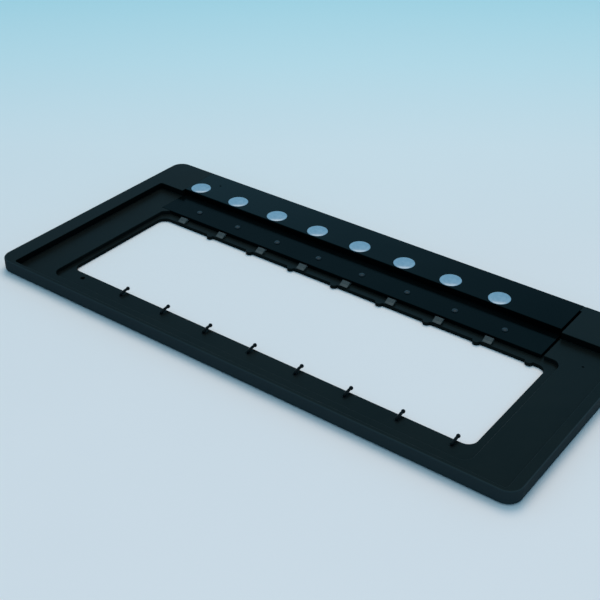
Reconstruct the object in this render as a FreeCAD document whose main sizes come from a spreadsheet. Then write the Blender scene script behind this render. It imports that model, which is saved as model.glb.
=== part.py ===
import FreeCAD, Part
import os
import types
import Sketcher
from FreeCAD import Vector

# A flat film carrier: a shallow black tray with a long window, and a hinged clamp bar
# along the back whose spring clips hold a row of narrow film pieces on the window's ledge.
# The origin is the middle of the tray's underside. +X runs along the tray, +Y to the
# clamp bar and +Z up. All sizes are in millimetres.

DIMENSIONS = {
    # tray
    "frame_length": 301.0,
    "frame_width": 141.6,
    "frame_height": 7.5,
    "corner_radius": 7.0,
    "top_edge_radius": 0.8,
    "base_edge_radius": 1.5,
    "rim_edge_radius": 0.3,
    # recess that a cover plate drops into
    "recess_left": -140.5,
    "recess_right": 145.3,
    "recess_front": -68.6,
    "recess_back": 42.9,
    "recess_floor_level": 4.0,
    "recess_corner_radius": 1.5,
    # ledge round the window
    "ledge_left": -121.1,
    "ledge_right": 124.0,
    "ledge_front": -61.1,
    "ledge_level": 2.0,
    "ledge_corner_radius": 5.0,
    "ledge_seat_bevel": 3.5,
    # window
    "window_left": -118.4,
    "window_right": 119.4,
    "window_front": -49.4,
    "window_back": 20.4,
    "window_corner_radius": 5.0,
    # clamp bar
    "bar_left": -124.0,
    "bar_right": 113.3,
    "bar_front": 25.5,
    "bar_underside_level": 2.0,
    "bar_rail_foot": 45.3,
    "bar_rail_front": 45.6,
    "bar_rail_edge_radius": 0.25,
    "bar_seat_level": 1.9,
    "bar_gap_left": 0.1,
    "bar_gap_right": 1.5,
    "bar_gap_front": 0.2,
    # hinge
    "hinge_inset": 2.5,
    "hinge_level": 4.5,
    "hinge_pin_radius": 1.25,
    "hinge_press_gap": 0.02,
    "hinge_running_gap": 0.05,
    "hinge_pin_reach": 6.0,
    "hinge_pin_end_gap": 0.3,
    "hinge_pin_setback": 4.0,
    "hinge_lug_gap": 0.3,
    "hinge_lug_width": 4.7,
    "hinge_lug_inset": 0.8,
    # magnets in the bar and steel keepers under them
    "magnet_count": 8,
    "magnet_first_x": -117.5,
    "magnet_pitch": 27.78,
    "magnet_row_y": 51.85,
    "magnet_radius": 5.75,
    "magnet_height": 5.8,
    "magnet_proud": 0.7,
    "magnet_rim": 0.5,
    "magnet_dimple_radius": 0.8,
    "magnet_dimple_depth": 0.25,
    "keeper_radius": 5.4,
    "keeper_height": 1.2,
    "disc_pocket_gap": 0.05,
    # spring clips
    "clip_count": 8,
    "clip_first_x": -105.5,
    "clip_pitch": 27.55,
    "leaf_width": 4.0,
    "leaf_thickness": 0.3,
    "leaf_level": 2.55,
    "leaf_front": 22.5,
    "leaf_shoulder": 30.9,
    "leaf_back": 35.9,
    "leaf_tab_width": 8.2,
    "slot_gap": 0.4,
    "slot_ceiling_level": 3.5,
    "rivet_offset": 2.9,
    "rivet_row_y": 33.4,
    "rivet_head_radius": 1.7,
    "rivet_head_height": 0.9,
    "rivet_dome_radius": 0.8,
    "rivet_shank_radius": 0.7,
    "rivet_foot_radius": 1.3,
    "rivet_foot_height": 0.36,
    "rivet_foot_level": 2.02,
    "rivet_hole_gap": 0.05,
    "leaf_hole_radius": 1.0,
    "boss_radius": 1.8,
    "boss_height": 0.5,
    "shoe_width": 4.6,
    "shoe_front": 20.7,
    "shoe_back": 23.8,
    "shoe_underside_level": 2.05,
    "shoe_back_level": 4.1,
    "shoe_front_level": 2.5,
    "shoe_lead_length": 0.9,
    "shoe_lead_level": 2.25,
    # separator pegs along the front of the window, nubs along its back
    "peg_count": 8,
    "peg_first_x": -79.65,
    "peg_pitch": 27.38,
    "peg_foot_y": -53.3,
    "peg_foot_level": 0.4,
    "peg_wire_radius": 0.75,
    "peg_tip_y": -48.2,
    "peg_tip_level": 3.6,
    "peg_tip_radius": 1.0,
    "peg_hole_gap": 0.05,
    "peg_hole_depth": 1.6,
    "peg_counterbore_radius": 1.3,
    "peg_counterbore_depth": 0.5,
    "nub_first_x": -84.0,
    "nub_pitch": 27.7,
    "nub_radius": 2.0,
    "nub_row_y": 20.6,
    # small marks
    "index_hole_x": 132.9,
    "index_hole_y": 28.2,
    "index_hole_radius": 0.6,
    "index_hole_depth": 0.5,
    "bar_mark_x": -110.1,
    "bar_mark_y": 60.5,
    "bar_mark_radius": 0.6,
    "bar_mark_height": 0.3,
}

TOLERANCE = 1e-4
HALF = 0.5


class Size:
    """A length together with the sheet expression that drives it."""

    def __init__(self, value, text):
        self.value = value
        self.text = text

    def __add__(self, other):
        return Size(self.value + other.value, "(%s + %s)" % (self.text, other.text))

    def __sub__(self, other):
        return Size(self.value - other.value, "(%s - %s)" % (self.text, other.text))

    def __mul__(self, number):
        return Size(self.value * number, "%s * %s" % (self.text, number))

    def __neg__(self):
        return self * -1

    def half(self):
        return self * HALF

    def count(self):
        return int(self.value)


ZERO = Size(0.0, "0")


def make_sheet(doc):
    """Write every dimension into the sheet and return the sizes by name."""
    sheet = doc.addObject("Spreadsheet::Sheet", "dims")
    for row, (alias, value) in enumerate(DIMENSIONS.items(), start=1):
        sheet.set("A%d" % row, alias)
        sheet.set("B%d" % row, str(value))
        sheet.setAlias("B%d" % row, alias)
    doc.recompute()
    sizes = {}
    for alias in DIMENSIONS:
        sizes[alias] = Size(float(sheet.get(alias)), "dims." + alias)
    return types.SimpleNamespace(**sizes)


def bind(item, prop, size):
    """Drive one property of a feature from the sheet."""
    item.setExpression(prop, size.text)


def new_body(doc, label):
    """An empty body whose label is the name of its piece."""
    body = doc.addObject("PartDesign::Body", label)
    body.Label = label
    return body


def origin_feature(body, role):
    """The body's own origin plane or axis with this role."""
    for feature in body.Origin.OriginFeatures:
        if feature.Role == role:
            return feature
    raise ValueError("no origin feature " + role)


def new_sketch(body, name, role, height=None):
    """A sketch on one of the body's origin planes, moved along its normal by height."""
    sketch = body.newObject("Sketcher::SketchObject", name)
    sketch.AttachmentSupport = [(origin_feature(body, role), "")]
    sketch.MapMode = "FlatFace"
    if height is not None:
        bind(sketch, "AttachmentOffset.Base.z", height)
    return sketch


def pin_point(sketch, geometry, vertex, across, along):
    """Fix a point's two distances from the sketch's origin."""
    for kind, size in (("DistanceX", across), ("DistanceY", along)):
        rule = Sketcher.Constraint(kind, -1, 1, geometry, vertex, size.value)
        index = sketch.addConstraint(rule)
        sketch.setExpression("Constraints[%d]" % index, size.text)


def add_outline(sketch, points):
    """A closed outline of straight sides through the given points."""
    places = [Vector(across.value, along.value, 0) for across, along in points]
    first = sketch.GeometryCount
    for here, there in zip(places, places[1:] + places[:1]):
        sketch.addGeometry(Part.LineSegment(here, there))
    for step, (across, along) in enumerate(points):
        before = first + (step - 1) % len(points)
        sketch.addConstraint(Sketcher.Constraint("Coincident", before, 2, first + step, 1))
        pin_point(sketch, first + step, 1, across, along)


def add_rectangle(sketch, left, right, low, high):
    """A rectangle between four distances from the sketch's origin."""
    add_outline(sketch, [(left, low), (right, low), (right, high), (left, high)])


def add_circle(sketch, across, along, radius):
    """A circle whose centre and radius come from the sheet."""
    centre = Vector(across.value, along.value, 0)
    index = sketch.addGeometry(Part.Circle(centre, Vector(0, 0, 1), radius.value))
    pin_point(sketch, index, 3, across, along)
    rule = sketch.addConstraint(Sketcher.Constraint("Radius", index, radius.value))
    sketch.setExpression("Constraints[%d]" % rule, radius.text)


def pad(body, sketch, name, length, both_ways=False):
    """Raise a sketch along its plane's normal."""
    feature = body.newObject("PartDesign::Pad", name)
    feature.Profile = sketch
    feature.Midplane = both_ways
    bind(feature, "Length", length)
    return feature


def cut(body, sketch, name, depth, reverse=False, both_ways=False):
    """Cut a sketch into the body and make sure that material went."""
    body.Document.recompute()
    before = body.Shape.Volume
    feature = body.newObject("PartDesign::Pocket", name)
    feature.Profile = sketch
    feature.Reversed = reverse
    feature.Midplane = both_ways
    bind(feature, "Length", depth)
    body.Document.recompute()
    if body.Shape.Volume > before - TOLERANCE:
        raise ValueError("%s removes nothing from %s" % (name, body.Label))
    return feature


def repeat(body, features, name, count, pitch):
    """Repeat features along +X."""
    feature = body.newObject("PartDesign::LinearPattern", name)
    feature.Originals = features
    feature.Direction = (origin_feature(body, "X_Axis"), [""])
    feature.Occurrences = count
    bind(feature, "Length", pitch * (count - 1))
    body.Tip = feature
    body.Document.recompute()
    return feature


def dress(body, kind, prop, name, size, wanted):
    """Round or bevel the edges of the body's last feature that the test picks out."""
    body.Document.recompute()
    base = body.Tip
    edges = []
    for number, edge in enumerate(base.Shape.Edges, start=1):
        if wanted(edge.BoundBox):
            edges.append("Edge%d" % number)
    if not edges:
        raise ValueError("no edges for " + name)
    feature = body.newObject("PartDesign::" + kind, name)
    feature.Base = (base, edges)
    bind(feature, prop, size)
    body.Document.recompute()
    return feature


def fillet(body, name, radius, wanted):
    """Round the picked edges."""
    return dress(body, "Fillet", "Radius", name, radius, wanted)


def bevel(body, name, size, wanted):
    """Bevel the picked edges."""
    return dress(body, "Chamfer", "Size", name, size, wanted)


def same(first, second):
    """True when two distances agree."""
    return abs(first - second) < TOLERANCE


def upright(box):
    """True for an edge that runs along Z."""
    return box.XLength < TOLERANCE and box.YLength < TOLERANCE


def level(box, height):
    """True for an edge that lies flat at the given height."""
    return same(box.ZMin, height) and same(box.ZMax, height)


def frame(doc, d):
    """The tray with its recess, ledge, window and seat for the clamp bar."""
    body = new_body(doc, "frame")
    frame_plate(body, d)
    frame_openings(body, d)
    frame_small_holes(body, d)
    frame_hinge_bore(body, d)
    return body


def frame_plate(body, d):
    """The plain plate with rounded corners and soft outer edges."""
    sketch = new_sketch(body, "plate_outline", "XY_Plane")
    half_length = d.frame_length.half()
    half_width = d.frame_width.half()
    add_rectangle(sketch, -half_length, half_length, -half_width, half_width)
    pad(body, sketch, "plate", d.frame_height)
    fillet(body, "plate_corners", d.corner_radius, upright)
    fillet(body, "plate_top_edge", d.top_edge_radius, lambda box: level(box, d.frame_height.value))
    fillet(body, "plate_base_edge", d.base_edge_radius, lambda box: level(box, 0.0))


def frame_openings(body, d):
    """The recess, the ledge, the window and the bar's seat with the lug that locates the bar sideways."""
    sketch = new_sketch(body, "recess_outline", "XY_Plane", d.frame_height)
    add_rectangle(sketch, d.recess_left, d.recess_right, d.recess_front, d.recess_back)
    cut(body, sketch, "recess", d.frame_height - d.recess_floor_level)
    fillet(
        body,
        "recess_corners",
        d.recess_corner_radius,
        lambda box: upright(box) and same(box.ZMin, d.recess_floor_level.value),
    )
    fillet(
        body,
        "recess_rim",
        d.rim_edge_radius,
        lambda box: level(box, d.frame_height.value) and box.XMin > d.recess_left.value - TOLERANCE
        and box.XMax < d.recess_right.value + TOLERANCE and box.YMax < d.recess_back.value + TOLERANCE
        and box.YMin > d.recess_front.value - TOLERANCE,
    )

    sketch = new_sketch(body, "ledge_outline", "XY_Plane", d.recess_floor_level)
    add_rectangle(sketch, d.ledge_left, d.ledge_right, d.ledge_front, d.bar_front)
    cut(body, sketch, "ledge", d.recess_floor_level - d.ledge_level)
    fillet(
        body,
        "ledge_corners",
        d.ledge_corner_radius,
        lambda box: upright(box) and same(box.ZMin, d.ledge_level.value)
        and (box.YMax < 0 or box.XMin > 0),
    )
    bevel(
        body,
        "ledge_seat_corner",
        d.ledge_seat_bevel,
        lambda box: upright(box) and same(box.XMin, d.ledge_left.value)
        and same(box.YMin, d.bar_front.value),
    )
    fillet(
        body,
        "ledge_rim",
        d.rim_edge_radius,
        lambda box: level(box, d.recess_floor_level.value)
        and box.XMin > d.ledge_left.value - TOLERANCE and box.XMax < d.ledge_right.value + TOLERANCE
        and box.YMin > d.ledge_front.value - TOLERANCE and box.YMax < d.bar_front.value + TOLERANCE,
    )

    sketch = new_sketch(body, "window_outline", "XY_Plane", d.ledge_level)
    add_rectangle(sketch, d.window_left, d.window_right, d.window_front, d.window_back)
    cut(body, sketch, "window", d.ledge_level)
    fillet(
        body,
        "window_corners",
        d.window_corner_radius,
        lambda box: upright(box) and same(box.ZMin, 0.0) and same(box.ZMax, d.ledge_level.value),
    )

    sketch = new_sketch(body, "bar_seat_outline", "XY_Plane", d.frame_height)
    add_rectangle(
        sketch,
        d.bar_left - d.bar_gap_left,
        d.bar_right + d.bar_gap_right,
        d.bar_front - d.bar_gap_front,
        d.frame_width,
    )
    cut(body, sketch, "bar_seat", d.frame_height - d.bar_seat_level)

    lug_back = d.frame_width.half() - d.hinge_lug_inset
    sketch = new_sketch(body, "hinge_lug_outline", "XY_Plane", d.bar_seat_level)
    add_rectangle(
        sketch,
        d.bar_right + d.hinge_lug_gap,
        d.bar_right + d.bar_gap_right,
        lug_back - d.hinge_lug_width,
        lug_back,
    )
    pad(body, sketch, "hinge_lug", d.frame_height - d.bar_seat_level)


def frame_small_holes(body, d):
    """Nubs at the window's back edge, peg holes, keeper pockets and the index hole."""
    sketch = new_sketch(body, "nub_outline", "XY_Plane")
    add_circle(sketch, d.nub_first_x, d.nub_row_y, d.nub_radius)
    nub = pad(body, sketch, "nub", d.ledge_level)
    repeat(body, [nub], "nubs", d.peg_count.count(), d.nub_pitch)

    sketch = new_sketch(body, "peg_hole_outline", "XY_Plane", d.ledge_level)
    spare_hole_x = d.peg_first_x - d.peg_pitch
    add_circle(sketch, spare_hole_x, d.peg_foot_y, d.peg_wire_radius + d.peg_hole_gap)
    hole = cut(body, sketch, "peg_hole", d.peg_hole_depth)
    sketch = new_sketch(body, "peg_counterbore_outline", "XY_Plane", d.ledge_level)
    add_circle(sketch, spare_hole_x, d.peg_foot_y, d.peg_counterbore_radius)
    mouth = cut(body, sketch, "peg_counterbore", d.peg_counterbore_depth)
    repeat(body, [hole, mouth], "peg_holes", d.peg_count.count() + 1, d.peg_pitch)

    sketch = new_sketch(body, "keeper_pocket_outline", "XY_Plane", d.bar_seat_level)
    add_circle(sketch, d.magnet_first_x, d.magnet_row_y, d.keeper_radius + d.disc_pocket_gap)
    pocket = cut(body, sketch, "keeper_pocket", d.keeper_height)
    repeat(body, [pocket], "keeper_pockets", d.magnet_count.count(), d.magnet_pitch)

    sketch = new_sketch(body, "index_hole_outline", "XY_Plane", d.recess_floor_level)
    add_circle(sketch, d.index_hole_x, d.index_hole_y, d.index_hole_radius)
    cut(body, sketch, "index_hole", d.index_hole_depth)


def frame_hinge_bore(body, d):
    """One bore through both ends of the rail for the two hinge pins."""
    sketch = new_sketch(body, "hinge_bore_outline", "YZ_Plane")
    hinge_y = d.frame_width.half() - d.hinge_inset
    add_circle(sketch, hinge_y, d.hinge_level, d.hinge_pin_radius + d.hinge_press_gap)
    cut(body, sketch, "hinge_bore", d.frame_length + d.frame_height, both_ways=True)


def clamp_bar(doc, d):
    """The hinged bar: a thin strip over the ledge's back edge and a thick rail behind it."""
    body = new_body(doc, "clamp_bar")
    clamp_bar_profile(body, d)
    clamp_bar_pockets(body, d)
    clamp_bar_bores(body, d)
    return body


def clamp_bar_profile(body, d):
    """The bar's section, drawn across the tray and raised along it."""
    back = d.frame_width.half()
    sketch = new_sketch(body, "bar_section", "YZ_Plane", d.bar_left)
    add_outline(
        sketch,
        [
            (d.bar_front, d.bar_underside_level),
            (back, d.bar_underside_level),
            (back, d.frame_height),
            (d.bar_rail_front, d.frame_height),
            (d.bar_rail_foot, d.recess_floor_level),
            (d.bar_front, d.recess_floor_level),
        ],
    )
    pad(body, sketch, "bar", d.bar_right - d.bar_left)
    fillet(
        body,
        "hinge_round",
        d.hinge_inset,
        lambda box: same(box.YMin, back.value) and level(box, d.bar_underside_level.value),
    )
    fillet(
        body,
        "back_top_edge",
        d.top_edge_radius,
        lambda box: same(box.YMin, back.value) and level(box, d.frame_height.value),
    )
    fillet(
        body,
        "rail_front_edge",
        d.bar_rail_edge_radius,
        lambda box: same(box.YMax, d.bar_rail_front.value) and level(box, d.frame_height.value),
    )
    fillet(
        body,
        "strip_front_edge",
        d.rim_edge_radius,
        lambda box: same(box.YMax, d.bar_front.value) and level(box, d.recess_floor_level.value),
    )


def clamp_bar_pockets(body, d):
    """Magnet pockets from above, clip slots with their rivet bosses from below."""
    sketch = new_sketch(body, "magnet_pocket_outline", "XY_Plane", d.frame_height)
    add_circle(sketch, d.magnet_first_x, d.magnet_row_y, d.magnet_radius + d.disc_pocket_gap)
    pocket = cut(body, sketch, "magnet_pocket", d.magnet_height - d.magnet_proud)
    repeat(body, [pocket], "magnet_pockets", d.magnet_count.count(), d.magnet_pitch)

    count = d.clip_count.count()
    sketch = new_sketch(body, "clip_slot_outline", "XY_Plane", d.bar_underside_level)
    add_outline(sketch, leaf_outline(d, d.clip_first_x, d.bar_front - d.slot_gap, d.slot_gap))
    slot_depth = d.slot_ceiling_level - d.bar_underside_level
    slot = cut(body, sketch, "clip_slot", slot_depth, reverse=True)
    repeat(body, [slot], "clip_slots", count, d.clip_pitch)

    rivet_x = d.clip_first_x + d.rivet_offset
    boss_level = d.slot_ceiling_level - d.boss_height
    sketch = new_sketch(body, "rivet_boss_outline", "XY_Plane", boss_level)
    add_circle(sketch, rivet_x, d.rivet_row_y, d.boss_radius)
    boss = pad(body, sketch, "rivet_boss", d.boss_height)
    repeat(body, [boss], "rivet_bosses", count, d.clip_pitch)

    sketch = new_sketch(body, "rivet_hole_outline", "XY_Plane", d.recess_floor_level)
    add_circle(sketch, rivet_x, d.rivet_row_y, d.rivet_shank_radius + d.rivet_hole_gap)
    hole = cut(body, sketch, "rivet_hole", d.recess_floor_level - d.bar_underside_level)
    repeat(body, [hole], "rivet_holes", count, d.clip_pitch)


def clamp_bar_bores(body, d):
    """A blind bore in each end for the hinge pins, and a small moulding mark on the rail."""
    hinge_y = d.frame_width.half() - d.hinge_inset
    radius = d.hinge_pin_radius + d.hinge_running_gap
    depth = d.hinge_pin_reach + d.hinge_pin_end_gap
    ends = (("left_bore", d.bar_left, True), ("right_bore", d.bar_right, False))
    for name, end, reverse in ends:
        sketch = new_sketch(body, name + "_outline", "YZ_Plane", end)
        add_circle(sketch, hinge_y, d.hinge_level, radius)
        cut(body, sketch, name, depth, reverse=reverse)

    sketch = new_sketch(body, "mark_outline", "XY_Plane", d.frame_height)
    add_circle(sketch, d.bar_mark_x, d.bar_mark_y, d.bar_mark_radius)
    cut(body, sketch, "mark", d.bar_mark_height)


def leaf_outline(d, middle_x, front, gap):
    """The clip's plan: a narrow finger in front of a wider tab, grown all round by gap."""
    left = middle_x - d.leaf_width.half() - gap
    finger_right = middle_x + d.leaf_width.half() + gap
    tab_right = middle_x - d.leaf_width.half() + d.leaf_tab_width + gap
    shoulder = d.leaf_shoulder - gap
    back = d.leaf_back + gap
    return [
        (left, front),
        (finger_right, front),
        (finger_right, shoulder),
        (tab_right, shoulder),
        (tab_right, back),
        (left, back),
    ]


def hinge_pin(doc, d, side):
    """A plain steel pin, pressed into one end of the tray and running in the bar's bore."""
    outer = d.frame_length.half() - d.hinge_pin_setback
    if side == "left":
        start = -outer
        length = d.bar_left + d.hinge_pin_reach + outer
    else:
        start = d.bar_right - d.hinge_pin_reach
        length = outer - start
    body = new_body(doc, "hinge_pin_" + side)
    sketch = new_sketch(body, "pin_" + side + "_outline", "YZ_Plane", start)
    hinge_y = d.frame_width.half() - d.hinge_inset
    add_circle(sketch, hinge_y, d.hinge_level, d.hinge_pin_radius)
    pad(body, sketch, "pin_" + side, length)
    return body


def place_in_row(body, first_x, pitch, step):
    """Stand a body at its place in a row along X."""
    bind(body, "Placement.Base.x", first_x + pitch * step)


def magnet(doc, d, step):
    """A disc magnet standing a little proud: bevelled rim and a shallow dimple in its top."""
    body = new_body(doc, "magnet_%d" % (step + 1))
    top = d.frame_height + d.magnet_proud
    sketch = new_sketch(body, "disc_outline", "XY_Plane", top - d.magnet_height)
    add_circle(sketch, ZERO, d.magnet_row_y, d.magnet_radius)
    pad(body, sketch, "disc", d.magnet_height)
    bevel(body, "rim", d.magnet_rim, lambda box: level(box, top.value))
    sketch = new_sketch(body, "dimple_outline", "XY_Plane", top)
    add_circle(sketch, ZERO, d.magnet_row_y, d.magnet_dimple_radius)
    cut(body, sketch, "dimple", d.magnet_dimple_depth)
    place_in_row(body, d.magnet_first_x, d.magnet_pitch, step)
    return body


def keeper(doc, d, step):
    """A steel disc let into the tray under one magnet."""
    body = new_body(doc, "keeper_%d" % (step + 1))
    sketch = new_sketch(body, "disc_outline", "XY_Plane", d.bar_seat_level - d.keeper_height)
    add_circle(sketch, ZERO, d.magnet_row_y, d.keeper_radius)
    pad(body, sketch, "disc", d.keeper_height)
    place_in_row(body, d.magnet_first_x, d.magnet_pitch, step)
    return body


def clip_leaf(doc, d, step):
    """A spring steel leaf with a hole for its rivet."""
    body = new_body(doc, "clip_leaf_%d" % (step + 1))
    sketch = new_sketch(body, "leaf_plan", "XY_Plane", d.leaf_level)
    add_outline(sketch, leaf_outline(d, ZERO, d.leaf_front, ZERO))
    add_circle(sketch, d.rivet_offset, d.rivet_row_y, d.leaf_hole_radius)
    pad(body, sketch, "leaf", d.leaf_thickness)
    place_in_row(body, d.clip_first_x, d.clip_pitch, step)
    return body


def clip_shoe(doc, d, step):
    """The grey moulded shoe on the leaf's end, sloping down to the window."""
    body = new_body(doc, "clip_shoe_%d" % (step + 1))
    sketch = new_sketch(body, "shoe_section", "YZ_Plane")
    add_outline(
        sketch,
        [
            (d.shoe_front + d.shoe_lead_length, d.shoe_underside_level),
            (d.shoe_back, d.shoe_underside_level),
            (d.shoe_back, d.shoe_back_level),
            (d.shoe_front, d.shoe_front_level),
            (d.shoe_front, d.shoe_lead_level),
        ],
    )
    pad(body, sketch, "shoe", d.shoe_width, both_ways=True)
    sketch = new_sketch(body, "leaf_slot_section", "YZ_Plane")
    add_rectangle(
        sketch,
        d.leaf_front,
        d.leaf_shoulder,
        d.leaf_level,
        d.leaf_level + d.leaf_thickness,
    )
    cut(body, sketch, "leaf_slot", d.leaf_width, both_ways=True)
    place_in_row(body, d.clip_first_x, d.clip_pitch, step)
    return body


def clip_rivets(doc, d):
    """Eight rivets that hold the leaves: domed head above the strip, flat foot below the leaf."""
    body = new_body(doc, "clip_rivets")
    rivet_x = d.clip_first_x + d.rivet_offset
    steps = (
        ("foot", d.rivet_foot_level, d.rivet_foot_radius, d.rivet_foot_height),
        ("shank", d.rivet_foot_level, d.rivet_shank_radius, d.recess_floor_level - d.rivet_foot_level),
        ("head", d.recess_floor_level, d.rivet_head_radius, d.rivet_head_height),
    )
    features = []
    for name, height, radius, length in steps:
        sketch = new_sketch(body, name + "_outline", "XY_Plane", height)
        add_circle(sketch, rivet_x, d.rivet_row_y, radius)
        features.append(pad(body, sketch, name, length))
    head_top = d.recess_floor_level.value + d.rivet_head_height.value
    dome = fillet(body, "dome", d.rivet_dome_radius, lambda box: level(box, head_top))
    features.append(dome)
    repeat(body, features, "rivets", d.clip_count.count(), d.clip_pitch)
    return body


def separator_pegs(doc, d):
    """Eight bent wire pegs with ball tips that part the film pieces at the window's front."""
    body = new_body(doc, "separator_pegs")
    route = new_sketch(body, "peg_route", "YZ_Plane", d.peg_first_x)
    foot = (d.peg_foot_y, d.peg_foot_level)
    elbow = (d.peg_foot_y, d.peg_tip_level - d.peg_wire_radius)
    tip = (d.peg_tip_y, d.peg_tip_level)
    corners = [foot, elbow, tip]
    places = [Vector(across.value, along.value, 0) for across, along in corners]
    for here, there in zip(places, places[1:]):
        route.addGeometry(Part.LineSegment(here, there))
    route.addConstraint(Sketcher.Constraint("Coincident", 0, 2, 1, 1))
    pin_point(route, 0, 1, *foot)
    pin_point(route, 0, 2, *elbow)
    pin_point(route, 1, 2, *tip)
    section = new_sketch(body, "peg_section", "XY_Plane", d.peg_foot_level)
    add_circle(section, d.peg_first_x, d.peg_foot_y, d.peg_wire_radius)
    doc.recompute()
    wire = body.newObject("PartDesign::AdditivePipe", "peg_wire")
    wire.Profile = section
    wire.Spine = (route, ["Edge1", "Edge2"])
    wire.Transition = "Round corner"
    doc.recompute()
    ball = body.newObject("PartDesign::AdditiveSphere", "peg_ball")
    bind(ball, "Radius", d.peg_tip_radius)
    bind(ball, "Placement.Base.x", d.peg_first_x)
    bind(ball, "Placement.Base.y", d.peg_tip_y)
    bind(ball, "Placement.Base.z", d.peg_tip_level)
    doc.recompute()
    repeat(body, [wire, ball], "pegs", d.peg_count.count(), d.peg_pitch)
    return body


def build_all(doc, d):
    """Every piece of the carrier."""
    bodies = [frame(doc, d), clamp_bar(doc, d), clip_rivets(doc, d), separator_pegs(doc, d)]
    for side in ("left", "right"):
        bodies.append(hinge_pin(doc, d, side))
    for step in range(d.magnet_count.count()):
        bodies.append(magnet(doc, d, step))
        bodies.append(keeper(doc, d, step))
    for step in range(d.clip_count.count()):
        bodies.append(clip_leaf(doc, d, step))
        bodies.append(clip_shoe(doc, d, step))
    return bodies


def check(doc, bodies):
    """Stop if any feature failed or any piece has no sound solid."""
    for item in doc.Objects:
        if "Invalid" in item.State or "Error" in item.State:
            raise ValueError("%s is %s" % (item.Label, item.State))
    for body in bodies:
        if body.Shape.isNull() or not body.Shape.isValid():
            raise ValueError(body.Label + " has no valid shape")


def main():
    """Build the document, check it and write one file for each piece."""
    doc = FreeCAD.newDocument("film_carrier")
    sizes = make_sheet(doc)
    bodies = build_all(doc, sizes)
    doc.recompute()
    check(doc, bodies)
    os.makedirs("parts", exist_ok=True)
    for body in bodies:
        body.Shape.exportStep(os.path.join("parts", body.Label + ".step"))
        box = body.Shape.BoundBox
        print(body.Label, len(body.Shape.Solids), "solids", round(body.Shape.Volume, 2), "mm3", box)


main()
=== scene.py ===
import math

import bmesh
import bpy
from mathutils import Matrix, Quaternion, Vector


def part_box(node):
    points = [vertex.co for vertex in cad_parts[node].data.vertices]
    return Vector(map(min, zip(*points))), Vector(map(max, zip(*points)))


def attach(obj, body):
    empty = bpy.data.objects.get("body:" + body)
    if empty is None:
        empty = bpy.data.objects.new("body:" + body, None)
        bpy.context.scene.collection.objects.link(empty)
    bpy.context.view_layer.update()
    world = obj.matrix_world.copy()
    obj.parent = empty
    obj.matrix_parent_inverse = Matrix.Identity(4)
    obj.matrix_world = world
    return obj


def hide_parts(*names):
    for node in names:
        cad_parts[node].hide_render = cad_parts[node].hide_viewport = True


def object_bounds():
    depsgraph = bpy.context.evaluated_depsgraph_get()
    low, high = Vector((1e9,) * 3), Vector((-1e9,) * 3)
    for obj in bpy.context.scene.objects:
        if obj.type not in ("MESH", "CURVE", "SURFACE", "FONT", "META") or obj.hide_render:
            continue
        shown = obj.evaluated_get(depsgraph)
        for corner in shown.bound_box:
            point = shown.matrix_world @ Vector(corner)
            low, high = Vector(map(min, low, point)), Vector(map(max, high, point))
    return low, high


# Looks of a flat black film carrier: satin moulded tray and clamp bar, nickel disc magnets,
# grey clip shoes and black ball-tipped pegs, on a pale bluish table in soft studio light.

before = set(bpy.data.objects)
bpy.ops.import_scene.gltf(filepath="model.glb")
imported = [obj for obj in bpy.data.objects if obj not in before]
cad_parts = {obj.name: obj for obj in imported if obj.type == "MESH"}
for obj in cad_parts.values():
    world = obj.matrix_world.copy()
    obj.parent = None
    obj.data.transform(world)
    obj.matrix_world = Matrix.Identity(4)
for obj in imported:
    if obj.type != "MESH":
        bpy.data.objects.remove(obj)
cad_lo, cad_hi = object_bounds()

MM = 0.001
CLIPS = 8

# The tray: radius of its corners and height of its sunk floor
CORNER = 7.0 * MM
FLOOR = 4.0 * MM

# Depth of the band inside the outline that counts as an outer wall
OUTER_BAND = 2.0 * MM
OUTER_BAND_FADE = 0.8 * MM

# The painted sheen starts this far under the bar's top
RAIL_DROP = 0.6 * MM

ORIGIN = Vector((0.0, 0.0, 0.0))

# Discs. The top is (share of the radius, mm below the highest point) from the rim inwards,
# the dimple in its middle (mm from the axis, mm below the highest point)
DISC_SIDES = 96
DISC_FOOT_BEVEL = 0.3 * MM
DISC_TOP = (
    (1.00, 0.95), (0.99, 0.80), (0.97, 0.68), (0.94, 0.57), (0.90, 0.46), (0.84, 0.35),
    (0.76, 0.24), (0.66, 0.15), (0.54, 0.08), (0.40, 0.03), (0.25, 0.01),
)
DISC_DIMPLE = ((0.72, 0.01), (0.60, 0.0), (0.42, 0.06), (0.10, 0.09))

# Rivets. The foot and shank are (mm from the axis, mm above the lowest point), the dome
# (share of the head's radius, mm above its seat)
RIVET_SIDES = 40
RIVET_HEAD = 0.9 * MM
RIVET_SHANK = 0.7 * MM
RIVET_FOOT = ((0.25, 0.0), (1.2, 0.0), (1.3, 0.1), (1.26, 0.32), (0.7, 0.36))
RIVET_DOME = (
    (1.0, 0.0), (1.0, 0.12), (0.96, 0.30), (0.85, 0.52),
    (0.68, 0.70), (0.48, 0.82), (0.28, 0.88), (0.08, 0.90),
)

# Pegs. The collar is (mm from the axis, mm above its underside)
WIRE = 0.75 * MM
WIRE_SIDES = 24
BALL = 1.0 * MM
BALL_STEPS = 16
BEND = 1.1 * MM
BEND_STEPS = 8
BEND_LEAD = 6.0
COLLAR_SIDES = 32
COLLAR_LEVEL = 1.12 * MM
COLLAR = ((0.8, 0.0), (1.22, 0.0), (1.25, 0.35), (1.15, 0.47), (0.8, 0.5))

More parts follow.
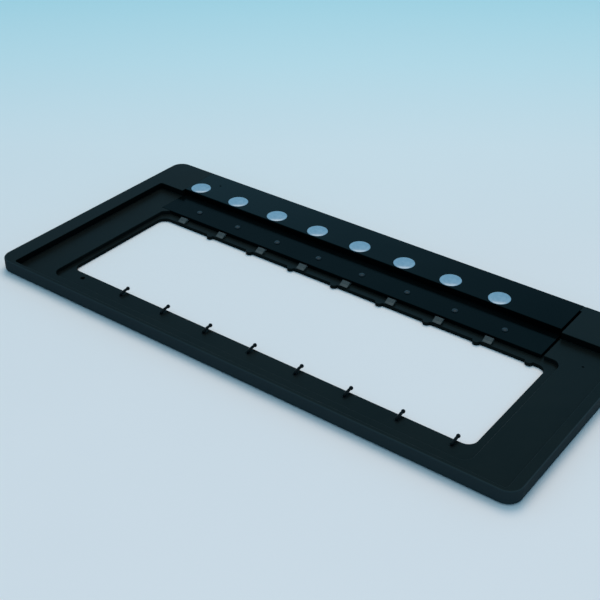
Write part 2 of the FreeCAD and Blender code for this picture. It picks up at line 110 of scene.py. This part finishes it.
# Shoes. Grooves are placed by their share of the length from the heel, and the ends are
# (mm from the end, share of the full section)
GROOVE_PLACES = (0.22, 0.40, 0.58)
GROOVE_DEPTH = 0.10 * MM
GROOVE_TOP = 0.22 * MM
GROOVE_FLOOR = 0.08 * MM
SHOE_LEAD = 0.9 * MM
NOSE_LOW = 0.2 * MM
NOSE_HIGH = 0.45 * MM
HEEL_DROP = 0.25 * MM
HEEL_BEVEL = 0.12 * MM
HEEL_FOOT = 0.15 * MM
SHOE_END = ((0.0, 0.93), (0.10, 0.985), (0.28, 1.0))


# ---------------------------------------------------------------- node materials

# Places of the colour sockets on a mix node
COLOUR_A, COLOUR_B, COLOUR_OUT = 6, 7, 2


class Graph:
    """A material's node tree with short calls for adding and joining nodes."""

    def __init__(self, name):
        self.material = bpy.data.materials.new(name)
        self.material.use_nodes = True
        self.tree = self.material.node_tree
        self.tree.nodes.clear()
        output = self.add("ShaderNodeOutputMaterial")
        self.shader = self.add("ShaderNodeBsdfPrincipled")
        self.join(self.shader.outputs["BSDF"], output.inputs["Surface"])
        self.place = self.add("ShaderNodeTexCoord").outputs["Object"]

    def add(self, kind, **settings):
        node = self.tree.nodes.new(kind)
        for key, value in settings.items():
            setattr(node, key, value)
        return node

    def join(self, source, target):
        self.tree.links.new(source, target)

    def set(self, name, value):
        """A value on the shader's own socket."""
        self.shader.inputs[name].default_value = value

    def stretched(self, scale, turn=(0.0, 0.0, 0.0)):
        """The place coordinates scaled by three numbers and turned by three angles in radians."""
        node = self.add("ShaderNodeMapping")
        node.inputs["Scale"].default_value = scale
        node.inputs["Rotation"].default_value = turn
        self.join(self.place, node.inputs["Vector"])
        return node.outputs["Vector"]

    def noise(self, scale, detail=3.0, rough=0.55, place=None, distortion=0.0):
        node = self.add("ShaderNodeTexNoise")
        node.inputs["Scale"].default_value = scale
        node.inputs["Detail"].default_value = detail
        node.inputs["Roughness"].default_value = rough
        node.inputs["Distortion"].default_value = distortion
        self.join(place or self.place, node.inputs["Vector"])
        return node.outputs["Fac"]

    def cells(self, scale):
        node = self.add("ShaderNodeTexVoronoi")
        node.inputs["Scale"].default_value = scale
        self.join(self.place, node.inputs["Vector"])
        return node.outputs["Distance"]

    def rings(self, scale, distortion):
        node = self.add("ShaderNodeTexWave", wave_type="RINGS", rings_direction="Z")
        node.inputs["Scale"].default_value = scale
        node.inputs["Distortion"].default_value = distortion
        node.inputs["Detail"].default_value = 2.0
        self.join(self.place, node.inputs["Vector"])
        return node.outputs["Fac"]

    def spread(self, value, low, high, out_low=0.0, out_high=1.0, kind="SMOOTHSTEP"):
        """Map a range of values to another one, with the ends held."""
        node = self.add("ShaderNodeMapRange", interpolation_type=kind)
        names = ("From Min", "From Max", "To Min", "To Max")
        for name, number in zip(names, (low, high, out_low, out_high)):
            node.inputs[name].default_value = number
        self.join(value, node.inputs["Value"])
        return node.outputs["Result"]

    def maths(self, kind, first, second):
        node = self.add("ShaderNodeMath", operation=kind)
        for socket, value in zip(node.inputs, (first, second)):
            if isinstance(value, float):
                socket.default_value = value
            else:
                self.join(value, socket)
        return node.outputs["Value"]

    def blend(self, share, first, second):
        """Mix two colours; each is a colour or an output."""
        node = self.add("ShaderNodeMix", data_type="RGBA")
        self.join(share, node.inputs["Factor"])
        for socket, value in ((node.inputs[COLOUR_A], first), (node.inputs[COLOUR_B], second)):
            if isinstance(value, tuple):
                socket.default_value = (*value, 1.0)
            else:
                self.join(value, socket)
        return node.outputs[COLOUR_OUT]

    def worn_edges(self, radius, low, high):
        """1 on sharp outer edges, broken up by noise, and 0 on flat faces."""
        soft = self.add("ShaderNodeBevel", samples=4)
        soft.inputs["Radius"].default_value = radius
        true = self.add("ShaderNodeNewGeometry").outputs["Normal"]
        dot = self.add("ShaderNodeVectorMath", operation="DOT_PRODUCT")
        self.join(soft.outputs["Normal"], dot.inputs[0])
        self.join(true, dot.inputs[1])
        edge = self.maths("SUBTRACT", 1.0, dot.outputs["Value"])
        patches = self.spread(self.noise(170.0, detail=4.0), 0.42, 0.68)
        return self.maths("MULTIPLY", self.spread(edge, low, high), patches)

    def axes(self, output):
        """The X, Y and Z of one of the texture coordinates."""
        split = self.add("ShaderNodeSeparateXYZ")
        self.join(self.add("ShaderNodeTexCoord").outputs[output], split.inputs["Vector"])
        return split.outputs["X"], split.outputs["Y"], split.outputs["Z"]

    def walls(self):
        """Masks of upright faces, the band along the tray's outline and the rounded top edge there."""
        x, y = self.axes("Object")[:2]
        upward = self.axes("Normal")[2]
        past_end = self.maths("SUBTRACT", self.maths("ABSOLUTE", x, 0.0), cad_hi.x - CORNER)
        past_side = self.maths("SUBTRACT", self.maths("ABSOLUTE", y, 0.0), cad_hi.y - CORNER)
        squares = []
        for past in (past_end, past_side):
            squares.append(self.maths("POWER", self.maths("MAXIMUM", past, 0.0), 2.0))
        reach = self.maths("SQRT", self.maths("ADD", *squares), 0.0)
        inner_line = CORNER - OUTER_BAND
        outside = self.spread(reach, inner_line, inner_line + OUTER_BAND_FADE)
        upright = self.spread(self.maths("ABSOLUTE", upward, 0.0), 0.2, 0.7, 1.0, 0.0)
        tilted = self.spread(upward, 0.15, 0.45)
        rim_highlight = self.maths("MULTIPLY", tilted, self.spread(upward, 0.86, 0.99, 1.0, 0.0))
        return upright, outside, self.maths("MULTIPLY", rim_highlight, outside)

    def bump(self, height, distance, strength):
        node = self.add("ShaderNodeBump")
        node.inputs["Strength"].default_value = strength
        node.inputs["Distance"].default_value = distance
        self.join(height, node.inputs["Height"])
        self.join(node.outputs["Normal"], self.shader.inputs["Normal"])


# How far along X the tray's gloss climbs to its full value, and the share of it at the left end
GLOSS_CLIMB = (-0.15, 0.05)
GLOSS_LEFT_SHARE = 0.65

# How far along X the rail's painted sheen (a raised gloss standing in for the light's sheen) fades out,
# and its gloss at the left end
SHEEN_FADE = (-0.130, 0.120)
SHEEN_GLOSS = 0.090

# Shares of the paler or darker colour on edges (partly wear, partly a painted highlight), walls (outer
# ones a painted reflection, inner ones painted shade) and rounded rims (a painted highlight)
EDGE_SHARE = 0.2
WALL_LIGHT_SHADE_SHARE = 0.6
RIM_HIGHLIGHT_SHARE = 0.6


def moulded_black(name, dark, light, wear_and_sheen, painted_shade, tint, smooth, rough, shine, sheen_height=None):
    """Black moulded plastic: spark-textured grain, faint flow clouds and worn edges.

    Its outer walls are painted paler, a painted reflection of the bright table, and its inner walls are
    painted near black as painted shade.
    The rounded top edge along the outline carries a painted highlight, and the edges are paler partly
    from wear and partly as a painted highlight.
    Given a height, the faces above it are glossier towards the left end, a painted sheen standing in for
    the light there.
    """
    g = Graph(name)
    clouds = g.spread(g.noise(16.0, detail=5.0, rough=0.6, distortion=0.6), 0.35, 0.68)
    streaks = g.noise(7.0, detail=4.0, rough=0.6, place=g.stretched((1.0, 9.0, 9.0)))
    grain = g.noise(2300.0, detail=2.0, rough=0.6)
    speckle = g.spread(grain, 0.55, 0.78, 0.0, 0.10)
    edges = g.worn_edges(0.45 * MM, 0.02, 0.22)
    upright, outside, rim_highlight = g.walls()
    x, _, z = g.axes("Object")

    colour = g.blend(clouds, dark, light)
    colour = g.blend(speckle, colour, wear_and_sheen)
    # Edges take some of the paler colour: partly wear, partly a painted highlight.
    colour = g.blend(g.maths("MULTIPLY", edges, EDGE_SHARE), colour, wear_and_sheen)
    # Painted shade: upright faces above the sunk floor's height are painted near black, standing in for
    # the shade inside the recesses.
    shaded_inner = g.blend(g.spread(z, FLOOR - 0.2 * MM, FLOOR), colour, painted_shade)
    # Painted reflection: outer walls along the outline are painted paler, standing in for the bright
    # table they mirror.
    painted_wall = g.blend(outside, shaded_inner, wear_and_sheen)
    colour = g.blend(g.maths("MULTIPLY", upright, WALL_LIGHT_SHADE_SHARE), colour, painted_wall)
    # Painted highlight on the rounded top edge along the outline.
    colour = g.blend(g.maths("MULTIPLY", rim_highlight, RIM_HIGHLIGHT_SHARE), colour, wear_and_sheen)
    g.join(colour, g.shader.inputs["Base Color"])

    marks = g.maths("ADD", g.maths("MULTIPLY", clouds, 0.5), g.maths("MULTIPLY", streaks, 0.5))
    finish = g.spread(marks, 0.2, 0.75, smooth, rough)
    finish = g.maths("SUBTRACT", finish, g.maths("MULTIPLY", edges, 0.08))
    g.join(g.maths("ADD", finish, g.maths("MULTIPLY", upright, 0.35)), g.shader.inputs["Roughness"])

    pits = g.maths("ADD", grain, g.maths("MULTIPLY", g.cells(1500.0), 0.35))
    g.bump(pits, 0.020 * MM, 0.55)

    g.set("IOR", 1.49)
    g.set("Specular Tint", (*tint, 1.0))
    gloss = g.spread(upright, 0.0, 1.0, shine, shine * 0.2)
    gloss = g.maths("MULTIPLY", gloss, g.spread(x, *GLOSS_CLIMB, GLOSS_LEFT_SHARE, 1.0))
    # Painted sheen: above the given height the gloss rises towards the left end, standing in for the
    # sheen of the light there.
    if sheen_height is not None:
        along = g.spread(x, *SHEEN_FADE, SHEEN_GLOSS, 0.0)
        above = g.spread(z, sheen_height - 0.2 * MM, sheen_height)
        gloss = g.maths("ADD", gloss, g.maths("MULTIPLY", along, above))
    g.join(gloss, g.shader.inputs["Specular IOR Level"])
    return g.material


def nickel(name):
    """Bright plating with fine lapping rings, handling haze and hairline scratches."""
    g = Graph(name)
    haze = g.spread(g.noise(420.0, detail=4.0, rough=0.6), 0.38, 0.7)
    rings = g.rings(1900.0, 0.6)
    lines = g.stretched((1.0, 14.0, 1.0), (0.0, 0.0, 0.6))
    scratches = g.noise(900.0, detail=2.0, rough=0.5, place=lines)
    g.join(g.blend(haze, (0.66, 0.65, 0.69), (0.76, 0.74, 0.77)), g.shader.inputs["Base Color"])
    finish = g.spread(haze, 0.0, 1.0, 0.30, 0.40)
    finish = g.maths("ADD", finish, g.spread(scratches, 0.62, 0.72, 0.0, 0.08))
    g.join(finish, g.shader.inputs["Roughness"])
    relief = g.maths("ADD", g.maths("MULTIPLY", rings, 0.6), g.maths("MULTIPLY", scratches, 0.5))
    g.bump(relief, 0.003 * MM, 0.5)
    g.set("Metallic", 1.0)
    return g.material


def rolled_steel(name, base, bright, along, rough):
    """Plain steel with drawn lines along one direction and darker handling patches."""
    g = Graph(name)
    lines = g.noise(60.0, detail=3.0, rough=0.7, place=g.stretched(along))
    patches = g.spread(g.noise(240.0, detail=4.0), 0.4, 0.7)
    edges = g.worn_edges(0.15 * MM, 0.03, 0.3)
    colour = g.blend(patches, base, bright)
    g.join(g.blend(edges, colour, (0.72, 0.72, 0.71)), g.shader.inputs["Base Color"])
    g.join(g.spread(lines, 0.3, 0.7, rough - 0.07, rough + 0.09), g.shader.inputs["Roughness"])
    g.bump(lines, 0.004 * MM, 0.5)
    g.set("Metallic", 1.0)
    return g.material


def coated_wire(name, dark, light, rough, shine):
    """Black lacquer on wire or rivets: slightly uneven, and greyer where it is rubbed."""
    g = Graph(name)
    uneven = g.noise(650.0, detail=3.0)
    edges = g.worn_edges(0.25 * MM, 0.05, 0.4)
    colour = g.blend(g.spread(uneven, 0.35, 0.7), dark, light)
    colour = g.blend(g.maths("MULTIPLY", edges, 0.5), colour, (0.05, 0.055, 0.06))
    g.join(colour, g.shader.inputs["Base Color"])
    g.join(g.spread(uneven, 0.3, 0.7, rough - 0.06, rough + 0.08), g.shader.inputs["Roughness"])
    g.bump(uneven, 0.010 * MM, 0.5)
    g.set("Specular IOR Level", shine)
    return g.material


def grey_nylon(name):
    """Grey moulded nylon: milky clouds, drag marks towards the tip and a rubbed pale edge."""
    g = Graph(name)
    clouds = g.spread(g.noise(380.0, detail=4.0, rough=0.6), 0.35, 0.68)
    drag = g.noise(240.0, detail=3.0, rough=0.6, place=g.stretched((9.0, 1.0, 1.0)))
    grain = g.noise(3400.0, detail=2.0)
    edges = g.worn_edges(0.2 * MM, 0.03, 0.3)
    colour = g.blend(clouds, (0.042, 0.050, 0.048), (0.061, 0.068, 0.062))
    colour = g.blend(g.spread(drag, 0.5, 0.75, 0.0, 0.4), colour, (0.098, 0.104, 0.10))
    colour = g.blend(g.maths("MULTIPLY", edges, 0.6), colour, (0.19, 0.21, 0.21))
    g.join(colour, g.shader.inputs["Base Color"])
    g.join(g.spread(drag, 0.3, 0.7, 0.36, 0.52), g.shader.inputs["Roughness"])
    g.bump(g.maths("ADD", grain, drag), 0.008 * MM, 0.5)
    return g.material


# ---------------------------------------------------------------- mesh building

def new_piece(name, mesh_maker, material, place=(0.0, 0.0, 0.0), smooth=35.0):
    """A mesh object filled by mesh_maker(bm), shaded smooth except at sharp edges."""
    bm = bmesh.new()
    mesh_maker(bm)
    bmesh.ops.recalc_face_normals(bm, faces=bm.faces)
    limit = math.radians(smooth)
    for face in bm.faces:
        face.smooth = True
    for edge in bm.edges:
        if len(edge.link_faces) == 2 and edge.calc_face_angle() > limit:
            edge.smooth = False
    mesh = bpy.data.meshes.new(name)
    bm.to_mesh(mesh)
    bm.free()
    mesh.materials.append(material)
    piece = bpy.data.objects.new(name, mesh)
    piece.location = place
    bpy.context.scene.collection.objects.link(piece)
    return piece


def skin(bm, rings):
    """Faces between a row of vertex rings, with a cap at each end."""
    rows = [[bm.verts.new(point) for point in ring] for ring in rings]
    count = len(rows[0])
    for low, high in zip(rows, rows[1:]):
        for i in range(count):
            j = (i + 1) % count
            bm.faces.new((low[i], low[j], high[j], high[i]))
    bm.faces.new(list(reversed(rows[0])))
    bm.faces.new(rows[-1])


def circle(centre, across, along, radius, count):
    """Points round a centre in the plane of two unit vectors."""
    points = []
    for i in range(count):
        angle = math.tau * i / count
        points.append(centre + across * (radius * math.cos(angle)) + along * (radius * math.sin(angle)))
    return points


def turned(bm, profile, centre, count):
    """A solid of revolution about Z from (radius, height) pairs, bottom to top."""
    x_axis, y_axis = Vector((1.0, 0.0, 0.0)), Vector((0.0, 1.0, 0.0))
    rings = []
    for radius, height in profile:
        rings.append(circle(centre + Vector((0.0, 0.0, height)), x_axis, y_axis, radius, count))
    skin(bm, rings)


def arc(centre, radius, start, end, steps):
    """Points of a circular arc in a plane, angles in degrees."""
    points = []
    for i in range(steps + 1):
        angle = math.radians(start + (end - start) * i / steps)
        points.append((centre[0] + radius * math.cos(angle), centre[1] + radius * math.sin(angle)))
    return points


def swept(bm, stations, x, count):
    """A round bar along stations of (y, z, radius) that lie in one plane x."""
    rings = []
    across = Vector((1.0, 0.0, 0.0))
    last = len(stations) - 1
    for i, (y, z, radius) in enumerate(stations):
        before, after = stations[max(i - 1, 0)], stations[min(i + 1, last)]
        run = Vector((0.0, after[0] - before[0], after[1] - before[1])).normalized()
        rings.append(circle(Vector((x, y, z)), across, run.cross(across), radius, count))
    skin(bm, rings)


def row_places(lo, hi, margin):
    """The eight places in a row whose ends lie margin inside a box."""
    step = (hi.x - lo.x - 2.0 * margin) / (CLIPS - 1)
    return [lo.x + margin + step * i for i in range(CLIPS)]


# ---------------------------------------------------------------- pieces

def magnet_discs(material):
    """Plated discs with a gently domed top, a rounded bevel and a dimple."""
    for number in range(1, CLIPS + 1):
        node = "magnet_%d" % number
        lo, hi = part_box(node)
        radius = (hi.x - lo.x) / 2.0
        height = hi.z - lo.z
        profile = [(0.2 * MM, 0.0), (radius - DISC_FOOT_BEVEL, 0.0), (radius, DISC_FOOT_BEVEL)]
        for share, drop in DISC_TOP:
            profile.append((radius * share, height - drop * MM))
        for reach, drop in DISC_DIMPLE:
            profile.append((reach * MM, height - drop * MM))
        centre = ((lo.x + hi.x) / 2.0, (lo.y + hi.y) / 2.0, lo.z)

        def make(bm):
            turned(bm, profile, ORIGIN, DISC_SIDES)

        piece = new_piece("magnet_disc_%d" % number, make, material, centre)
        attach(piece, "bar")
        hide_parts(node)


def rivets(material):
    """Eight rivets: domed head with a thin rim, shank, and a spread foot."""
    lo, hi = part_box("clip_rivets")
    head = (hi.y - lo.y) / 2.0
    seat = hi.z - RIVET_HEAD
    profile = [(reach * MM, lo.z + rise * MM) for reach, rise in RIVET_FOOT]
    profile.append((RIVET_SHANK, seat))
    profile += [(head * share, seat + rise * MM) for share, rise in RIVET_DOME]

    def make(bm):
        for x in row_places(lo, hi, head):
            turned(bm, profile, Vector((x, (lo.y + hi.y) / 2.0, 0.0)), RIVET_SIDES)

    piece = new_piece("rivet_row", make, material)
    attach(piece, "bar")
    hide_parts("clip_rivets")


def pegs(material):
    """Eight bent wires with a collar at the foot, a smooth elbow, a neck and a ball tip."""
    lo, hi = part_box("separator_pegs")
    tip_y, tip_z = hi.y - BALL, hi.z - BALL
    foot_y = lo.y + WIRE
    slope = math.degrees(math.atan2(WIRE, tip_y - foot_y))
    stations = [(foot_y, lo.z, WIRE * 0.8), (foot_y, lo.z + 0.15 * MM, WIRE)]
    stations += [(foot_y, tip_z - WIRE - BEND * 0.9, WIRE)]
    elbow = (foot_y + BEND, tip_z - WIRE - BEND * 0.7)
    for y, z in arc(elbow, BEND, 180.0 - BEND_LEAD, 90.0 + slope, BEND_STEPS):
        stations.append((y, z, WIRE))
    run = Vector((0.0, tip_y - stations[-1][0], tip_z - stations[-1][1])).normalized()
    neck = tip_y - BALL * 1.15
    stations.append((neck - 0.25 * MM, tip_z - 0.25 * MM * run.z, WIRE * 0.98))
    stations.append((neck, tip_z - 0.05 * MM, WIRE * 0.90))
    for i in range(3, BALL_STEPS):
        angle = math.pi * i / BALL_STEPS
        stations.append((tip_y - BALL * math.cos(angle), tip_z, BALL * math.sin(angle)))
    stations.append((tip_y + BALL * 0.999, tip_z, 0.04 * MM))
    collar = [(reach * MM, rise * MM) for reach, rise in COLLAR]

    def make(bm):
        for x in row_places(lo, hi, BALL):
            swept(bm, stations, x, WIRE_SIDES)
            turned(bm, collar, Vector((x, foot_y, lo.z + COLLAR_LEVEL)), COLLAR_SIDES)

    piece = new_piece("peg_row", make, material, smooth=50.0)
    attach(piece, "tray")
    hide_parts("separator_pegs")


def shoe_section(lo, hi):
    """The shoe's side outline as (y, z) points: a nose, a sloping grooved top and a square heel."""
    length = hi.y - lo.y
    nose_high = lo.z + NOSE_HIGH
    rise = (hi.z - nose_high) / length
    points = [(lo.y + SHOE_LEAD, lo.z), (hi.y - HEEL_FOOT, lo.z), (hi.y, lo.z + HEEL_FOOT)]
    points += [(hi.y, hi.z - HEEL_DROP), (hi.y - HEEL_BEVEL, hi.z - rise * HEEL_BEVEL)]
    for share in GROOVE_PLACES:
        y = hi.y - length * share
        z = hi.z - rise * length * share
        points += [(y + GROOVE_TOP, z + rise * GROOVE_TOP), (y + GROOVE_FLOOR, z - GROOVE_DEPTH)]
        points += [(y - GROOVE_FLOOR, z - GROOVE_DEPTH), (y - GROOVE_TOP, z - rise * GROOVE_TOP)]
    points += [(lo.y + 0.15 * MM, nose_high + 0.04 * MM), (lo.y, nose_high - 0.08 * MM)]
    points.append((lo.y, lo.z + NOSE_LOW))
    return points


def shoes(material):
    """Grey shoes with shallow grip grooves and softened ends, one on each leaf."""
    for number in range(1, CLIPS + 1):
        node = "clip_shoe_%d" % number
        lo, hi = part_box(node)
        section = shoe_section(lo, hi)
        middle = sum((Vector((0.0, y, z)) for y, z in section), Vector()) / len(section)
        half = (hi.x - lo.x) / 2.0
        slices = [(step * MM - half, share) for step, share in SHOE_END]
        slices += [(half - step * MM, share) for step, share in reversed(SHOE_END)]

        def make(bm):
            rings = []
            for x, share in slices:
                ring = []
                for y, z in section:
                    point = middle + (Vector((0.0, y, z)) - middle) * share
                    ring.append(Vector((x, point.y - middle.y, point.z - lo.z)))
                rings.append(ring)
            skin(bm, rings)

        place = ((lo.x + hi.x) / 2.0, middle.y, lo.z)
        piece = new_piece("shoe_%d" % number, make, material, place)
        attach(piece, "clip_%d" % number)
        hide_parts(node)


def paint(node, material):
    """Give a carried-over CAD node its material."""
    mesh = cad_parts[node].data
    mesh.materials.clear()
    mesh.materials.append(material)


# ---------------------------------------------------------------- setting

# The table's colour by how far a place lies behind the tray as the camera sees it, in metres: painted
# light, warmer and paler near the object and cooler blue further back
TABLE_REACH = (-0.25, 0.62)
TABLE_SKEW = 0.744
TABLE_LIGHT_STOPS = (
    (0.00, (0.97, 0.90, 0.885)),
    (0.35, (0.845, 0.83, 0.83)),
    (0.55, (0.76, 0.82, 0.835)),
    (0.75, (0.60, 0.78, 0.82)),
    (1.00, (0.425, 0.70, 0.77)),
)
TABLE_MOTTLE = (0.55, 0.60, 0.64)
TABLE_HALF = 4.0
TABLE_GAP = 0.02 * MM


def table_top():
    """A pale table: white round the object and a cooler blue further behind it."""
    g = Graph("pale_table")
    x, y = g.axes("Object")[:2]
    behind = g.maths("SUBTRACT", y, g.maths("MULTIPLY", x, TABLE_SKEW))
    # Painted light: the ramp paints the floor warmer and paler near the object and cooler blue further
    # behind it.
    ramp = g.add("ShaderNodeValToRGB")
    elements = ramp.color_ramp.elements
    while len(elements) < len(TABLE_LIGHT_STOPS):
        elements.new(0.5)
    for element, (position, colour) in zip(elements, TABLE_LIGHT_STOPS):
        element.position = position
        element.color = (*colour, 1.0)
    g.join(g.spread(behind, *TABLE_REACH, kind="LINEAR"), ramp.inputs["Fac"])
    mottle = g.spread(g.noise(5.0, detail=4.0), 0.3, 0.7, 0.0, 0.04)
    g.join(g.blend(mottle, ramp.outputs["Color"], TABLE_MOTTLE), g.shader.inputs["Base Color"])
    g.set("Roughness", 0.62)
    g.set("Specular IOR Level", 0.2)
    g.bump(g.noise(900.0, detail=2.0), 0.01 * MM, 0.3)

    def make(bm):
        bmesh.ops.create_grid(bm, x_segments=8, y_segments=8, size=TABLE_HALF)

    floor = new_piece("table_top", make, g.material, (0.0, 0.0, cad_lo.z - TABLE_GAP))


def area_light(name, place, size, power, colour):
    """A rectangular soft light aimed at the origin, not seen in glossy surfaces."""
    data = bpy.data.lights.new(name, "AREA")
    data.shape = "RECTANGLE"
    data.size, data.size_y = size
    data.energy = power
    data.color = colour
    light = bpy.data.objects.new(name, data)
    light.location = place
    light.rotation_mode = "QUATERNION"
    light.rotation_quaternion = (-Vector(place)).to_track_quat("-Z", "Y")
    light.visible_glossy = False
    bpy.context.scene.collection.objects.link(light)


# Z of a unit vector: lower directions see the room, those above the second height the ceiling
CEILING_HEIGHTS = (0.74, 0.97)
ROOM_COLOUR = (0.190, 0.440, 0.620)
CEILING_COLOUR = (0.68, 0.86, 0.95)

# One warm panel high up behind the object: metres, watts
PANEL_PLACE = (-0.38, 0.72, 1.45)
PANEL_SIZE = (1.0, 1.0)
PANEL_POWER = 12.4
PANEL_COLOUR = (1.0, 0.795, 0.634)


def studio_light():
    """A cool room under a brighter ceiling, and a broad warm panel high up behind the object."""
    world = bpy.data.worlds.new("studio")
    world.use_nodes = True
    tree = world.node_tree
    split = tree.nodes.new("ShaderNodeSeparateXYZ")
    tree.links.new(tree.nodes.new("ShaderNodeTexCoord").outputs["Generated"], split.inputs["Vector"])
    height = tree.nodes.new("ShaderNodeMapRange")
    height.interpolation_type = "SMOOTHSTEP"
    height.inputs["From Min"].default_value, height.inputs["From Max"].default_value = CEILING_HEIGHTS
    tree.links.new(split.outputs["Z"], height.inputs["Value"])
    mix = tree.nodes.new("ShaderNodeMix")
    mix.data_type = "RGBA"
    mix.inputs[COLOUR_A].default_value = (*ROOM_COLOUR, 1.0)
    mix.inputs[COLOUR_B].default_value = (*CEILING_COLOUR, 1.0)
    tree.links.new(height.outputs["Result"], mix.inputs["Factor"])
    tree.links.new(mix.outputs[COLOUR_OUT], tree.nodes["Background"].inputs["Color"])
    bpy.context.scene.world = world
    bpy.context.scene.view_settings.view_transform = "Standard"
    area_light("top_panel", place=PANEL_PLACE, size=PANEL_SIZE, power=PANEL_POWER, colour=PANEL_COLOUR)


# The camera: place in metres, lens in mm, then degrees of turn, dip below level and tilt
CAMERA_PLACE = (0.2790, -0.3844, 0.3107)
SENSOR_WIDTH = 36.0
LENS = 68.09
NEAR, FAR = 0.01, 20.0
YAW, DIP, ROLL = 36.665, 32.945, 0.274


def look_from():
    """The camera: above the front right corner, looking down across the tray."""
    data = bpy.data.cameras.new("camera")
    data.sensor_width = SENSOR_WIDTH
    data.lens = LENS
    data.clip_start, data.clip_end = NEAR, FAR
    camera = bpy.data.objects.new("camera", data)
    camera.location = CAMERA_PLACE
    yaw, dip, roll = (math.radians(angle) for angle in (YAW, DIP, ROLL))
    upright, sideways = (0.0, 0.0, 1.0), (1.0, 0.0, 0.0)
    turn = Quaternion(upright, yaw) @ Quaternion(sideways, math.pi / 2.0 - dip)
    camera.rotation_mode = "QUATERNION"
    camera.rotation_quaternion = turn @ Quaternion(upright, roll)
    bpy.context.scene.collection.objects.link(camera)
    bpy.context.scene.camera = camera


# ---------------------------------------------------------------- assembly

look_from()
studio_light()
table_top()

tray_black = moulded_black(
    "tray_black",
    dark=(0.0044, 0.0062, 0.0061),
    light=(0.0062, 0.0083, 0.0080),
    wear_and_sheen=(0.030, 0.045, 0.051),
    painted_shade=(0.0002, 0.0006, 0.0008),
    tint=(0.6, 1.0, 0.92),
    smooth=0.28,
    rough=0.38,
    shine=0.12,
)
bar_black = moulded_black(
    "bar_black",
    dark=(0.0004, 0.0014, 0.0018),
    light=(0.0010, 0.0024, 0.0028),
    wear_and_sheen=(0.012, 0.022, 0.026),
    painted_shade=(0.0001, 0.0002, 0.0002),
    tint=(0.45, 1.0, 0.95),
    smooth=0.14,
    rough=0.20,
    shine=0.070,
    sheen_height=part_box("clamp_bar")[1].z - RAIL_DROP,
)
pin_steel = rolled_steel(
    "pin_steel", base=(0.46, 0.47, 0.48), bright=(0.58, 0.59, 0.60), along=(1.0, 12.0, 12.0), rough=0.27
)
keeper_steel = rolled_steel(
    "keeper_steel", base=(0.38, 0.39, 0.40), bright=(0.50, 0.51, 0.52), along=(2.0, 18.0, 2.0), rough=0.36
)
leaf_steel = rolled_steel(
    "leaf_steel", base=(0.42, 0.43, 0.44), bright=(0.53, 0.54, 0.55), along=(16.0, 1.0, 1.0), rough=0.30
)
rivet_black = coated_wire(
    "rivet_black", dark=(0.003, 0.006, 0.009), light=(0.007, 0.012, 0.015), rough=0.22, shine=0.55
)
peg_black = coated_wire(
    "peg_black", dark=(0.0016, 0.0036, 0.0044), light=(0.0032, 0.0056, 0.0064), rough=0.30, shine=0.10
)

paint("frame", tray_black)
paint("clamp_bar", bar_black)
for side in ("left", "right"):
    paint("hinge_pin_" + side, pin_steel)
for step in range(1, CLIPS + 1):
    paint("keeper_%d" % step, keeper_steel)
    paint("clip_leaf_%d" % step, leaf_steel)

magnet_discs(nickel("magnet_nickel"))
rivets(rivet_black)
pegs(peg_black)
shoes(grey_nylon("shoe_grey"))
